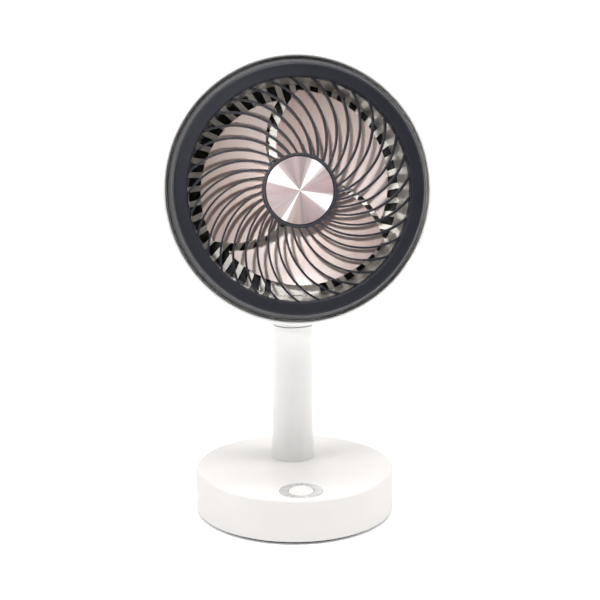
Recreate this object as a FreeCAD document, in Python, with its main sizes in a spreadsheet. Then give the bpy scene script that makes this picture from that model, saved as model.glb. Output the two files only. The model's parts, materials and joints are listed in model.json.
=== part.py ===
"""Desk fan on a round base: a parametric FreeCAD document, in millimetres.

The origin is the middle of the base on the table, +Z is up and the fan blows along -Y.
Four frames are used. The base and column frames stand upright. The neck frame sits on
the column's top. The head frame has its origin in the middle of the front face, +X to
the right, +Y up and +Z forward, and it leans back about the tilt pin.
"""
import FreeCAD, Part
import math
import os
import re
import Sketcher
from FreeCAD import Placement, Rotation, Vector

SIZES = [
    # Base, seen from above as a disc standing on a rubber ring.
    ("base_radius", 82.0), ("base_height", 36.0), ("base_wall", 2.4), ("base_top", 2.6),
    ("base_round", 2.2), ("shell_lift", 2.7), ("cover_thickness", 2.5), ("cover_gap", 0.3),
    ("foot_height", 2.2), ("foot_width", 12.0), ("foot_inset", 3.6),
    ("foot_round", 0.6),
    ("ballast_thickness", 3.0), ("ballast_bore", 45.0), ("ballast_gap", 4.0),
    ("boss_inset", 24.0), ("boss_radius", 4.0), ("boss_gap", 0.6),
    # Screws: one size for the structure and a small one for boards and motors.
    ("screw_radius", 1.4), ("screw_head", 2.9), ("screw_head_height", 1.8),
    ("small_screw", 1.0), ("small_head", 1.9), ("small_head_height", 1.4),
    ("thread_gap", 0.05), ("hole_gap", 0.4), ("screw_bite", 10.0), ("small_bite", 4.0),
    ("screw_spare", 0.5),
    # Clearances and edge breaks shared by many pieces.
    ("press_gap", 0.02), ("seat_gap", 0.05), ("rest_gap", 0.1), ("loose_gap", 0.2), ("part_gap", 0.3),
    ("edge_break", 0.3), ("edge_round", 0.5), ("shaft_round", 0.4),
    # Power inside the base.
    ("cell_radius", 9.2), ("cell_length", 65.0), ("cell_spacing", 20.0), ("cell_gap", 0.3),
    ("tray_wall", 1.5), ("tray_height", 12.0),
    ("inlet_width", 9.0), ("inlet_height", 3.2), ("inlet_depth", 7.3), ("inlet_level", 14.0),
    ("port_wall", 0.6), ("port_floor", 1.5), ("inlet_gap", 0.2), ("inlet_recess", 0.4),
    # Power button and its board.
    ("button_inset", 20.0), ("button_radius", 9.9), ("button_gap", 0.25),
    ("button_travel", 1.0), ("button_stand", 0.25), ("button_wall", 1.4), ("button_lip", 0.9),
    ("button_lip_height", 1.2), ("lip_gap", 0.2), ("plunger_gap", 0.15), ("button_round", 0.6),
    ("button_post", 2.0),
    ("ring_radius", 16.6), ("ring_flange", 0.9), ("ring_tube", 0.9), ("ring_depth", 5.0),
    ("ring_gap", 0.3), ("ring_proud", 0.15),
    ("board_length", 54.0), ("board_width", 24.0), ("board_thickness", 1.6),
    ("board_drop", 8.4), ("post_radius", 2.8), ("post_spacing", 46.0),
    ("switch_width", 6.0), ("switch_height", 3.2), ("plunger_radius", 1.7), ("plunger_rise", 0.7),
    ("spring_radius", 5.6), ("spring_wire", 0.3), ("spring_pitch", 1.6), ("spring_gap", 0.01),
    # Column.
    ("column_back", 22.0), ("column_height", 115.0), ("column_low", 18.0), ("column_high", 16.75),
    ("column_wall", 2.0), ("plug_height", 12.0), ("plug_gap", 0.45), ("wire_hole", 6.0),
    ("column_screw_circle", 10.5), ("column_screw_short", 2.0),
    ("cap_thickness", 3.0), ("cap_sink", 2.0), ("seam_gap", 0.6),
    ("motor_can", 12.0), ("motor_length", 14.0), ("can_screw_circle", 8.2),
    ("swivel_radius", 2.5), ("shaft_gap", 0.05), ("swivel_below", 11.0), ("swivel_above", 8.4),
    ("bush_radius", 12.6), ("bush_bore", 3.2),
    # Neck: two half shells round a steel yoke.
    ("pin_rise", 30.0), ("neck_above", 10.5), ("neck_round", 6.0), ("slot_drop", 14.0),
    ("neck_floor", 3.0),
    ("tongue_width", 14.0), ("slot_gap", 0.5), ("pin_radius", 2.5), ("pin_length", 25.0),
    ("yoke_plate", 3.0), ("yoke_radius", 12.6), ("yoke_arm", 2.4), ("yoke_arm_width", 16.0),
    ("yoke_arm_above", 7.0), ("yoke_inset", 0.8), ("yoke_gap", 0.3), ("yoke_boss", 6.0),
    ("yoke_boss_height", 9.0), ("washer_radius", 7.0), ("washer_thickness", 0.4),
    ("neck_screw_side", 13.2), ("neck_screw_low", 5.0), ("neck_screw_seat", 6.0),
    ("neck_screw_sink", 2.0),
    # Head, as depths behind its front face and radii about its axis.
    ("rest_tilt", 4.0), ("pin_inset", 6.0), ("pin_behind", 25.0),
    ("head_radius", 102.5), ("shell_front", 15.0), ("head_depth", 58.0), ("shell_wall", 2.4),
    ("shell_round", 9.0), ("lip_round", 1.1), ("rear_step", 2.6),
    ("face_radius", 93.0), ("opening_radius", 83.4), ("face_round", 2.2), ("opening_round", 1.2),
    ("face_wall", 2.2), ("flare_gap", 0.7), ("flare_depth", 21.0), ("opening_depth", 10.0),
    ("grille_ring_wall", 2.1), ("lip_land", 0.4),
    ("rib_count", 33), ("rib_thickness", 1.5), ("rib_recess", 3.0), ("rib_depth", 5.0),
    ("rib_bend", 0.635), ("rib_swing", 0.5947), ("rib_phase", 87.7), ("rib_root", 1.0),
    ("hub_ring", 28.0), ("hub_ring_wall", 2.1), ("hub_ring_front", 2.6), ("hub_plate", 2.0),
    ("hub_ring_depth", 6.4), ("hub_ring_round", 0.8), ("disc_gap", 0.25),
    ("disc_thickness", 3.4), ("disc_round", 0.7),
    ("duct_wall", 2.0), ("duct_flange", 1.7), ("head_boss_step", 4.2), ("head_boss", 3.4),
    ("slat_count", 45), ("slat_width", 4.5), ("slat_depth", 4.0), ("slat_slant", 12.0),
    ("slat_inner", 51.0), ("vent_outer", 45.5), ("vent_inner", 42.2), ("grille_flange", 1.8),
    ("grille_rim", 1.8), ("grille_overlap", 7.0), ("slat_root", 1.0),
    ("block_width", 39.0), ("block_inset", 3.0), ("block_above", 10.0),
    ("screen_thickness", 0.5), ("screen_edge", 2.5), ("screen_room", 1.0),
    ("cap_radius", 39.5), ("cap_depth", 8.0), ("cap_wall", 1.8), ("cap_round", 5.0),
    # Tilt bracket.
    ("bracket_width", 36.0), ("bracket_height", 22.0), ("bracket_plate", 4.0),
    ("tongue_radius", 9.0), ("bracket_screw_x", 28.0),
    ("bracket_screw_y", 14.0), ("bracket_bite", 3.6),
    # Motor and impeller.
    ("mount_radius", 30.0), ("mount_thickness", 2.5), ("mount_tube", 8.5), ("bearing_radius", 6.1),
    ("mount_length", 31.0), ("bearing_width", 4.0), ("axle_radius", 2.0), ("bearing_bore", 2.03),
    ("bearing_inset", 1.0),
    ("mount_screw_circle", 26.0), ("motor_board_outer", 24.0), ("motor_board_thickness", 1.2),
    ("stator_height", 10.0), ("stator_stand", 14.0), ("stator_yoke", 3.0), ("air_gap", 0.65),
    ("tooth_count", 9), ("tooth_width", 3.2), ("coil_thickness", 1.3), ("coil_gap", 0.1),
    ("coil_start", 0.6), ("coil_short", 1.6), ("tooth_root", 1.0),
    ("bell_gap", 3.4), ("bell_wall", 1.4), ("bell_round", 1.2), ("bell_length", 20.5), ("bell_stand", 12.0),
    ("magnet_thickness", 1.5), ("magnet_length", 12.5), ("magnet_inset", 0.5),
    ("hub_radius", 28.0), ("hub_wall", 2.0), ("hub_front", 14.0), ("hub_stand", 11.5),
    ("hub_round", 3.0), ("hub_boss", 7.0), ("nut_radius", 5.0), ("nut_height", 3.4),
    ("axle_front", 11.0), ("axle_stand", 5.0),
    ("blade_count", 3), ("blade_sink", 1.2), ("tip_gap", 8.4), ("tip_gap_back", 12.4),
    ("blade_front", 15.5), ("blade_stand", 14.5), ("blade_thickness", 1.8), ("blade_edge", 0.45),
    ("blade_wrap", 109.0),
    ("blade_lead_root", 124.0), ("blade_lead_tip", 90.0), ("blade_camber", 2.4),
]

# Sizes that follow from the ones above, as formulas in their names.
BOSS_CIRCLE = "(base_radius - boss_inset)"
BUTTON_FORWARD = "(base_radius - button_inset)"
NECK_BASE = "base_height + column_height + seam_gap"
PIN_LEVEL = NECK_BASE + " + pin_rise"
REAR_OPENING = "(opening_radius + rear_step)"
HEAD_BOSS_CIRCLE = "(opening_radius + rear_step + head_boss_step)"
TILT_DROP = "(opening_radius + rear_step - pin_inset)"
HEAD_REACH = "(head_depth + pin_behind)"
FLARE_RADIUS = "(head_radius - shell_wall - flare_gap)"
RIB_ARC = "(opening_radius * rib_bend)"
RIB_REACH = "(opening_radius * rib_swing)"
MOUNT_FRONT = "(head_depth - mount_length)"
BELL_RADIUS = "(hub_radius - hub_wall - bell_gap)"
BELL_BACK = "(head_depth - bell_stand)"
BELL_FRONT = "(head_depth - bell_stand - bell_length)"
MAGNET_INNER = "(hub_radius - hub_wall - bell_gap - bell_wall - seat_gap - magnet_thickness)"
STATOR_RADIUS = MAGNET_INNER + " - air_gap"
STATOR_RING = "mount_tube + stator_yoke"
STATOR_BACK = "(head_depth - stator_stand)"
HUB_BACK = "(head_depth - hub_stand)"
AXLE_BACK = "(head_depth - axle_stand)"

UPRIGHT = "upright"
HEAD = "head"
doc = FreeCAD.newDocument("DeskFan")
sheet = doc.addObject("Spreadsheet::Sheet", "Sizes")
nodes = []


def fill_sheet():
    """Write each driving dimension into the sheet under its own name."""
    for row, (alias, value) in enumerate(SIZES, start=1):
        sheet.set("A%d" % row, alias)
        sheet.set("B%d" % row, str(value))
        sheet.setAlias("B%d" % row, alias)
    doc.recompute()


def formula(text):
    """Turn a formula in the sheet's names into a FreeCAD expression."""
    return re.sub(r"\b[a-z]+(?:_[a-z]+)+\b", r"Sizes.\g<0>", str(text))


def size(text):
    """The number that a formula in the sheet's names gives now."""
    value = sheet.evalExpression(formula(text))
    return float(getattr(value, "Value", value))


def bind(thing, **properties):
    """Tie each property to a formula; double underscores stand for dots."""
    for name, text in properties.items():
        path = name.replace("__", ".")
        thing.setExpression(path, formula(text))
    return thing


def put(thing, x=0, y=0, z=0):
    """Tie an object's place to three formulas."""
    return bind(thing, Placement__Base__x=x, Placement__Base__y=y, Placement__Base__z=z)


# Primitives. Each sits on its own centre line.
def rod(name, radius, height, x=0, y=0, z=0, along="Z"):
    """A cylinder whose axis runs along Z, X or Y from the given point."""
    turns = {"Z": Rotation(), "X": Rotation(Vector(0, 1, 0), 90), "Y": Rotation(Vector(1, 0, 0), -90)}
    cylinder = doc.addObject("Part::Cylinder", name)
    cylinder.Placement = Placement(Vector(), turns[along])
    return put(bind(cylinder, Radius=radius, Height=height), x, y, z)


def block(name, length, width, height, x=0, y=0, z=0):
    """A box centred on x and y that stands on z."""
    box = doc.addObject("Part::Box", name)
    bind(box, Length=length, Width=width, Height=height)
    return put(box, "%s - (%s) / 2" % (x, length), "%s - (%s) / 2" % (y, width), z)


def fuse(name, shapes):
    """Join shapes into one solid."""
    union = doc.addObject("Part::MultiFuse", name)
    union.Shapes = shapes
    return union


def common(name, shapes):
    """Keep only what shapes share."""
    shared = doc.addObject("Part::MultiCommon", name)
    shared.Shapes = shapes
    return shared


def cut(name, base, tools):
    """Take the tools away from the base."""
    result = doc.addObject("Part::Cut", name)
    result.Base = base
    result.Tool = tools[0] if len(tools) == 1 else fuse(name + "_tools", tools)
    return result


def group(name, shapes):
    """Keep identical loose solids together in one node."""
    compound = doc.addObject("Part::Compound", name)
    compound.Links = shapes
    return compound


def keep(piece, label, frame=UPRIGHT, y=0, z=0):
    """Name a finished piece and place it in its frame."""
    piece.Label = label
    if frame == HEAD:
        piece.Placement = Placement(Vector(), Rotation(Vector(1, 0, 0), 90 - size("rest_tilt")))
        bind(piece, Placement__Rotation__Angle="90 - rest_tilt")
        y = "column_back + %s * sin(rest_tilt) - %s * cos(rest_tilt)" % (TILT_DROP, HEAD_REACH)
        z = PIN_LEVEL + " + %s * cos(rest_tilt) + %s * sin(rest_tilt)" % (TILT_DROP, HEAD_REACH)
    put(piece, 0, y, z)
    nodes.append(piece)
    return piece


# Turned pieces, made as bodies.
def origin_plane(body, role):
    """The body's own origin plane with the given role."""
    return next(f for f in body.Origin.OriginFeatures if f.Role == role)


def add_sketch(body, name, role):
    """An empty sketch on one of the body's own planes."""
    sketch = body.newObject("Sketcher::SketchObject", name)
    sketch.AttachmentSupport = [(origin_plane(body, role), "")]
    sketch.MapMode = "FlatFace"
    return sketch


def draw_corners(sketch, corners):
    """Draw a closed outline and tie both coordinates of each corner to formulas."""
    points = [Vector(size(x), size(y), 0) for x, y in corners]
    for start, end in zip(points, points[1:] + points[:1]):
        sketch.addGeometry(Part.LineSegment(start, end), False)
    count = len(points)
    for line in range(count):
        sketch.addConstraint(Sketcher.Constraint("Coincident", line, 2, (line + 1) % count, 1))
    for line, (x, y) in enumerate(corners):
        for kind, text in (("DistanceX", x), ("DistanceY", y)):
            rule = Sketcher.Constraint(kind, -1, 1, line, 1, size(text))
            index = sketch.addConstraint(rule)
            sketch.setExpression("Constraints[%d]" % index, formula(text))


def circle_edges(shape, radius, level):
    """The names of the full circles of a radius at a height."""
    names = []
    for index, edge in enumerate(shape.Edges, start=1):
        curve = edge.Curve
        if not isinstance(curve, Part.Circle):
            continue
        if abs(curve.Radius - radius) < 1e-4 and abs(curve.Center.z - level) < 1e-4:
            names.append("Edge%d" % index)
    return names


def turned(name, corners, rounds=()):
    """A body turned about Z from (radius, height) corners, with some corners rounded."""
    body = doc.addObject("PartDesign::Body", name)
    sketch = add_sketch(body, name + "_outline", "XZ_Plane")
    draw_corners(sketch, corners)
    feature = body.newObject("PartDesign::Revolution", name + "_turn")
    feature.Profile = sketch
    feature.ReferenceAxis = (sketch, ["V_Axis"])
    feature.Angle = 360
    doc.recompute()
    for corner, radius in rounds:
        x, y = corners[corner]
        edges = circle_edges(feature.Shape, size(x), size(y))
        fillet = body.newObject("PartDesign::Fillet", name + "_round")
        fillet.Base = (feature, edges)
        bind(fillet, Radius=radius)
        feature = fillet
        doc.recompute()
    body.Tip = feature
    return body


def washer(name, inner, outer, low, high, rounds=()):
    """A flat ring or tube between two radii and two heights."""
    return turned(name, [(inner, low), (outer, low), (outer, high), (inner, high)], rounds)


def disc(name, outer, low, high, rounds=()):
    """A solid disc between two heights."""
    return washer(name, "0", outer, low, high, rounds)


def around(count, first):
    """Angles in degrees of a count of things spaced evenly from a first one."""
    return [first + index * 360.0 / count for index in range(count)]


def on_circle(circle, angle):
    """Formulas for the point of a circle at an angle."""
    x = "%s * %.10f" % (circle, math.cos(math.radians(angle)))
    y = "%s * %.10f" % (circle, math.sin(math.radians(angle)))
    return x, y


def rods_around(name, radius, height, circle, z, angles, y_shift="0"):
    """One cylinder at each angle of a circle."""
    made = []
    for angle in angles:
        x, y = on_circle(circle, angle)
        made.append(rod(name, radius, height, x, "%s + %s" % (y, y_shift), z))
    return made


def screws_around(label, circle, angles, seat, reach, head_side, small=False, y_shift="0"):
    """Screws whose heads lie beyond a seat, on the side that head_side (+1 or -1) gives."""
    shank, head, head_height = "screw_radius", "screw_head", "screw_head_height"
    if small:
        shank, head, head_height = "small_screw", "small_head", "small_head_height"
    made = []
    for angle in angles:
        x, y = on_circle(circle, angle)
        y = "%s + %s" % (y, y_shift)
        shank_low = seat if head_side < 0 else "%s - (%s)" % (seat, reach)
        head_low = "%s - %s" % (seat, head_height) if head_side < 0 else seat
        parts = [rod(label + "_shank", shank, reach, x, y, shank_low),
                 rod(label + "_head", head, head_height, x, y, head_low)]
        made.append(fuse(label + "_screw", parts))
    return group(label, made)


BASE_SCREW_ANGLES = around(4, 45.0)
COLUMN_SCREW_ANGLES = around(3, 90.0)
HEAD_SCREW_ANGLES = around(4, 45.0)
MOUNT_SCREW_ANGLES = around(3, 30.0)
CAN_SCREW_ANGLES = around(2, 0.0)
THREAD_HOLE = "screw_radius + thread_gap"
CLEAR_HOLE = "screw_radius + hole_gap"
SMALL_THREAD = "small_screw + thread_gap"
SMALL_CLEAR = "small_screw + hole_gap"
TOP_UNDERSIDE = "base_height - base_top"
COVER_TOP = "foot_height + cover_thickness"
BOARD_TOP = "base_height - board_drop"
BOARD_LOW = "base_height - board_drop - board_thickness"
BUTTON_Y = "0 - " + BUTTON_FORWARD


# Base.
def make_base_shell():
    """The round cup with its screw bosses, board posts, openings and button seat."""
    cup = turned("shell_cup", [
        ("0", TOP_UNDERSIDE), ("base_radius - base_wall", TOP_UNDERSIDE),
        ("base_radius - base_wall", "shell_lift"), ("base_radius", "shell_lift"),
        ("base_radius", "base_height"), ("0", "base_height")], [(4, "base_round")])
    boss_height = "%s - (%s)" % (TOP_UNDERSIDE, COVER_TOP)
    bosses = rods_around("boss", "boss_radius", boss_height, BOSS_CIRCLE, COVER_TOP,
                         BASE_SCREW_ANGLES)
    posts = [rod("post", "post_radius", "%s - (%s)" % (TOP_UNDERSIDE, BOARD_TOP), x, BUTTON_Y, BOARD_TOP)
             for x in ("post_spacing / 2", "0 - post_spacing / 2")]
    tools = rods_around("boss_hole", THREAD_HOLE, "screw_bite + screw_spare", BOSS_CIRCLE, COVER_TOP,
                        BASE_SCREW_ANGLES)
    tools += [rod("post_hole", SMALL_THREAD, "small_bite + screw_spare", x, BUTTON_Y, BOARD_TOP)
              for x in ("post_spacing / 2", "0 - post_spacing / 2")]
    tools.append(rod("button_hole", "button_radius + button_gap + ring_tube + ring_gap", "base_height",
                     0, BUTTON_Y, TOP_UNDERSIDE))
    tools.append(rod("ring_seat", "ring_radius + ring_gap", "base_height", 0, BUTTON_Y,
                     "base_height + ring_proud - ring_flange"))
    tools.append(rod("wire_way", "wire_hole", "base_top", 0, "column_back", TOP_UNDERSIDE))
    tools += rods_around("column_screw_hole", CLEAR_HOLE, "base_top", "column_screw_circle",
                         TOP_UNDERSIDE, COLUMN_SCREW_ANGLES, "column_back")
    tools.append(block("inlet_window", "inlet_width + 2 * inlet_gap", "base_wall * 4",
                       "inlet_height + 2 * inlet_gap", 0, "base_radius",
                       "inlet_level - inlet_height / 2 - inlet_gap"))
    keep(cut("base_shell", fuse("shell_blank", [cup] + bosses + posts), tools), "base_shell")


def make_base_underside():
    """The bottom cover, rubber ring, ballast ring and the screws that hold them."""
    blank = disc("cover_disc", "base_radius - base_wall - cover_gap", "foot_height", COVER_TOP)
    holes = rods_around("cover_hole", CLEAR_HOLE, "cover_thickness", BOSS_CIRCLE, "foot_height",
                        BASE_SCREW_ANGLES)
    keep(cut("bottom_cover", blank, holes), "bottom_cover")
    outer = "base_radius - foot_inset"
    keep(washer("foot_ring", outer + " - foot_width", outer, "0", "foot_height",
                [(1, "foot_round")]), "foot_ring")
    plate = washer("ballast_blank", "ballast_bore", "base_radius - base_wall - ballast_gap", COVER_TOP,
                   COVER_TOP + " + ballast_thickness")
    holes = rods_around("ballast_hole", "boss_radius + boss_gap", "ballast_thickness", BOSS_CIRCLE,
                        COVER_TOP, BASE_SCREW_ANGLES)
    keep(cut("ballast_ring", plate, holes), "ballast_ring")
    keep(screws_around("base_screws", BOSS_CIRCLE, BASE_SCREW_ANGLES, "foot_height",
                       "cover_thickness + screw_bite", -1), "base_screws")


def make_battery():
    """Two cells lying side by side in an open tray."""
    inner_length = "cell_length + 2 * cell_gap"
    inner_width = "cell_spacing + 2 * cell_radius + 2 * cell_gap"
    shell = block("tray_blank", inner_length + " + 2 * tray_wall", inner_width + " + 2 * tray_wall",
                  "tray_height", 0, 0, COVER_TOP)
    hollow = block("tray_hollow", inner_length, inner_width, "tray_height", 0, 0,
                   COVER_TOP + " + tray_wall")
    keep(cut("battery_tray", shell, [hollow]), "battery_tray")
    level = COVER_TOP + " + tray_wall + cell_radius + rest_gap"
    cells = [rod("cell", "cell_radius", "cell_length", "0 - cell_length / 2", y, level, "X")
             for y in ("cell_spacing / 2", "0 - cell_spacing / 2")]
    keep(group("battery_cells", cells), "battery_cells")


def make_inlet():
    """The charging inlet in the rear wall: a thin shell round a tongue."""
    front = "base_radius - inlet_recess - inlet_depth"
    middle = front + " + inlet_depth / 2"
    low = "inlet_level - inlet_height / 2"
    body = block("inlet_body", "inlet_width", "inlet_depth", "inlet_height", 0, middle, low)
    mouth = block("inlet_mouth", "inlet_width - 2 * port_wall", "inlet_depth",
                  "inlet_height - 2 * port_wall", 0, middle + " + port_floor", low + " + port_wall")
    tongue = block("inlet_tongue", "inlet_width / 1.5", "inlet_depth - port_floor", "port_wall", 0,
                   middle + " - port_floor / 2", "inlet_level - port_wall / 2")
    keep(fuse("usb_inlet", [cut("inlet_shell", body, [mouth]), tongue]), "usb_inlet")


def make_button():
    """The button cap, its trim ring, spring, switch and board."""
    bore = "button_radius + button_gap"
    tube = bore + " + ring_tube"
    top = "base_height + ring_proud"
    ring = turned("button_ring", [
        (bore, top), (bore, "base_height - ring_depth"), (tube, "base_height - ring_depth"),
        (tube, top + " - ring_flange"), ("ring_radius", top + " - ring_flange"),
        ("ring_radius", top)], [(5, "edge_round"), (0, "edge_break")])
    keep(ring, "button_ring", y=BUTTON_Y)
    lip_top = "base_height - ring_depth - lip_gap"
    lip_low = lip_top + " - button_lip_height"
    cap_top = "base_height + button_stand"
    inner = "button_radius - button_wall"
    post_low = BOARD_TOP + " + switch_height + plunger_rise + button_travel + plunger_gap"
    cap = turned("button_cap", [
        ("0", cap_top), ("0", post_low), ("button_post", post_low),
        ("button_post", cap_top + " - button_wall"), (inner, cap_top + " - button_wall"),
        (inner, lip_low), ("button_radius + button_lip", lip_low),
        ("button_radius + button_lip", lip_top), ("button_radius", lip_top),
        ("button_radius", cap_top)], [(9, "button_round")])
    keep(cap, "button_cap", y=BUTTON_Y)
    plate = block("board_plate", "board_length", "board_width", "board_thickness", 0, BUTTON_Y, BOARD_LOW)
    holes = [rod("board_hole", SMALL_CLEAR, "board_thickness", x, BUTTON_Y, BOARD_LOW)
             for x in ("post_spacing / 2", "0 - post_spacing / 2")]
    keep(cut("control_board", plate, holes), "control_board")
    body = block("switch_body", "switch_width", "switch_width", "switch_height", 0, BUTTON_Y, BOARD_TOP)
    plunger = rod("plunger", "plunger_radius", "switch_height + plunger_rise", 0, BUTTON_Y, BOARD_TOP)
    keep(fuse("tact_switch", [body, plunger]), "tact_switch")
    keep(screws_around("board_screws", "post_spacing / 2", around(2, 0.0), BOARD_LOW,
                       "board_thickness + small_bite", -1, True, BUTTON_Y), "board_screws")
    make_spring()


def make_spring():
    """A coil spring from the board to the underside of the button cap."""
    wire = size("spring_wire")
    bottom = size(BOARD_TOP) + wire
    height = size("base_height + button_stand - button_wall") - wire - bottom - 2 * size("spring_gap")
    radius = size("spring_radius")
    path = Part.makeHelix(size("spring_pitch"), height, radius)
    start = Vector(radius, 0, 0)
    section = Part.Wire([Part.Edge(Part.Circle(start, Vector(0, 1, 0), wire))])
    spring = doc.addObject("Part::Feature", "button_spring")
    spring.Shape = Part.Wire(path.Edges).makePipeShell([section], True, True)
    keep(spring, "button_spring", y=BUTTON_Y, z="base_height - board_drop + spring_wire + spring_gap")


# Column.
CAP_TOP = "base_height + column_height - cap_sink"


def make_column():
    """The tapered tube, its foot plug and the screws up through the base."""
    tube = turned("column_tube", [
        ("column_low - column_wall", "0"), ("column_low", "0"), ("column_high", "column_height"),
        ("column_high - column_wall", "column_height")], [(2, "edge_round")])
    keep(tube, "column_tube", y="column_back", z="base_height")
    plug = washer("plug_blank", "wire_hole", "column_low - column_wall - plug_gap", "0", "plug_height",
                  [(2, "2 * edge_round")])
    holes = rods_around("plug_hole", THREAD_HOLE, "plug_height", "column_screw_circle", "0",
                        COLUMN_SCREW_ANGLES)
    keep(cut("column_foot", plug, holes), "column_foot", y="column_back", z="base_height")
    keep(screws_around("column_screws", "column_screw_circle", COLUMN_SCREW_ANGLES, TOP_UNDERSIDE,
                       "base_top + plug_height - column_screw_short", -1), "column_screws", y="column_back")


def make_swivel():
    """The cap, geared motor, bush and output shaft in the column's top."""
    cap = washer("cap_blank", "swivel_radius + shaft_gap",
                 "column_high - column_wall - plug_gap", "0 - cap_thickness", "0")
    holes = rods_around("cap_hole", SMALL_CLEAR, "cap_thickness", "can_screw_circle",
                        "0 - cap_thickness", CAN_SCREW_ANGLES)
    holes += rods_around("cap_sink", "small_head + hole_gap", "cap_thickness", "can_screw_circle",
                         "0 - small_head_height - rest_gap", CAN_SCREW_ANGLES)
    keep(cut("column_cap", cap, holes), "column_cap", y="column_back", z=CAP_TOP)
    can = disc("can_blank", "motor_can", "0 - cap_thickness - motor_length", "0 - cap_thickness",
               [(2, "2 * edge_round"), (1, "2 * edge_round")])
    holes = [rod("can_bore", "swivel_radius + shaft_gap", "swivel_below", 0, 0,
                 "0 - cap_thickness - swivel_below")]
    holes += rods_around("can_hole", SMALL_THREAD, "small_bite + screw_spare", "can_screw_circle",
                         "0 - cap_thickness - small_bite - screw_spare", CAN_SCREW_ANGLES)
    keep(cut("swivel_motor", can, holes), "swivel_motor", y="column_back", z=CAP_TOP)
    screws = screws_around("motor_screws", "can_screw_circle", CAN_SCREW_ANGLES,
                           "0 - small_head_height - rest_gap",
                           "cap_thickness - small_head_height + small_bite", 1, True)
    keep(screws, "motor_screws", y="column_back", z=CAP_TOP)
    keep(washer("swivel_bush", "bush_bore", "bush_radius", "0", "cap_sink + seam_gap - seat_gap",
                [(1, "edge_break")]), "swivel_bush", y="column_back", z=CAP_TOP)
    shaft = disc("swivel_shaft", "swivel_radius", "0 - cap_thickness - swivel_below + loose_gap",
                 "cap_sink + seam_gap + swivel_above", [(2, "shaft_round")])
    keep(shaft, "swivel_shaft", y="column_back", z=CAP_TOP)


# Neck.
SLOT = "tongue_width + 2 * slot_gap"


def neck_blank():
    """The neck's whole outer form: a domed post with the slot, pockets and pin hole."""
    top = "pin_rise + neck_above"
    post = disc("neck_post", "column_high", "0", top, [(1, "edge_round"), (2, "neck_round")])
    arm_x = "tongue_width / 2 + slot_gap + yoke_inset + yoke_arm / 2"
    cavity_top = "pin_rise - slot_drop - neck_floor"
    tools = [block("slot", SLOT, "column_high * 3", top, 0, 0, "pin_rise - slot_drop"),
             rod("yoke_room", "yoke_radius + yoke_gap", cavity_top),
             rod("pin_hole", "pin_radius + rest_gap", "pin_length + 2 * part_gap",
                 "0 - pin_length / 2 - part_gap", 0, "pin_rise", "X")]
    for side in ("", "0 - "):
        tools.append(block("arm_room", "yoke_arm + 2 * yoke_gap", "yoke_arm_width + 2 * yoke_gap",
                           "pin_rise + yoke_arm_above + yoke_gap", "%s(%s)" % (side, arm_x)))
        x = side + "neck_screw_side"
        tools.append(rod("screw_way", SMALL_THREAD, "column_high * 2", x, "0 - neck_screw_seat",
                         "pin_rise - neck_screw_low", "Y"))
        tools.append(rod("screw_sink", "small_head + loose_gap", "column_high", x,
                         "neck_screw_seat - neck_screw_sink", "pin_rise - neck_screw_low", "Y"))
    return cut("neck_blank", post, tools)


def make_neck_shells():
    """Front and rear half shells, parted on the plane through the pin."""
    halves = [("neck_front", "0 - column_high"), ("neck_rear", "column_high")]
    for label, middle in halves:
        blank = neck_blank()
        room = block("half_room", "column_high * 3", "column_high * 2", "pin_rise * 3", 0, middle)
        keep(common(label, [blank, room]), label, y="column_back", z=NECK_BASE)
    screws = []
    for side in ("", "0 - "):
        x = side + "neck_screw_side"
        z = "pin_rise - neck_screw_low"
        shank = rod("neck_shank", "small_screw", "2 * neck_screw_seat - neck_screw_sink - screw_spare", x,
                    "0 - neck_screw_seat + screw_spare", z, "Y")
        head = rod("neck_head", "small_head", "small_head_height", x, "neck_screw_seat - neck_screw_sink",
                   z, "Y")
        screws.append(fuse("neck_screw", [shank, head]))
    keep(group("neck_screws", screws), "neck_screws", y="column_back", z=NECK_BASE)


def make_yoke():
    """The steel fork that turns with the shaft and carries the tilt pin."""
    arm_height = "pin_rise + yoke_arm_above"
    arm_x = "tongue_width / 2 + slot_gap + yoke_inset + yoke_arm / 2"
    parts = [rod("yoke_disc", "yoke_radius", "yoke_plate"), rod("yoke_hub", "yoke_boss", "yoke_boss_height")]
    for side in ("", "0 - "):
        parts.append(block("yoke_side", "yoke_arm", "yoke_arm_width", arm_height, "%s(%s)" % (side, arm_x)))
    holes = [rod("shaft_seat", "swivel_radius + press_gap", "swivel_above + part_gap"),
             rod("pin_seat", "pin_radius + press_gap", "pin_length * 2", "0 - pin_length", 0, "pin_rise",
                 "X")]
    keep(cut("neck_yoke", fuse("yoke_blank", parts), holes), "neck_yoke", y="column_back", z=NECK_BASE)


def make_tilt_pin():
    """The pin and the two friction washers beside the tongue."""
    pin = rod("tilt_pin", "pin_radius", "pin_length", "0 - pin_length / 2", "column_back", PIN_LEVEL, "X")
    pin.Label = "tilt_pin"
    nodes.append(pin)
    rings = []
    for x in ("tongue_width / 2 + seat_gap", "0 - tongue_width / 2 - seat_gap - washer_thickness"):
        outer = rod("washer_rim", "washer_radius", "washer_thickness", x, 0, "pin_rise", "X")
        bore = rod("washer_bore", "pin_radius + rest_gap", "washer_thickness", x, 0, "pin_rise", "X")
        rings.append(cut("washer", outer, [bore]))
    keep(group("friction_washers", rings), "friction_washers", y="column_back", z=NECK_BASE)


# Head shells and grilles.
GRILLE_REAR = "0 - head_depth"
RIM_OUTER = REAR_OPENING + " - part_gap"
RIM_INNER = RIM_OUTER + " - grille_rim"


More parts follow.
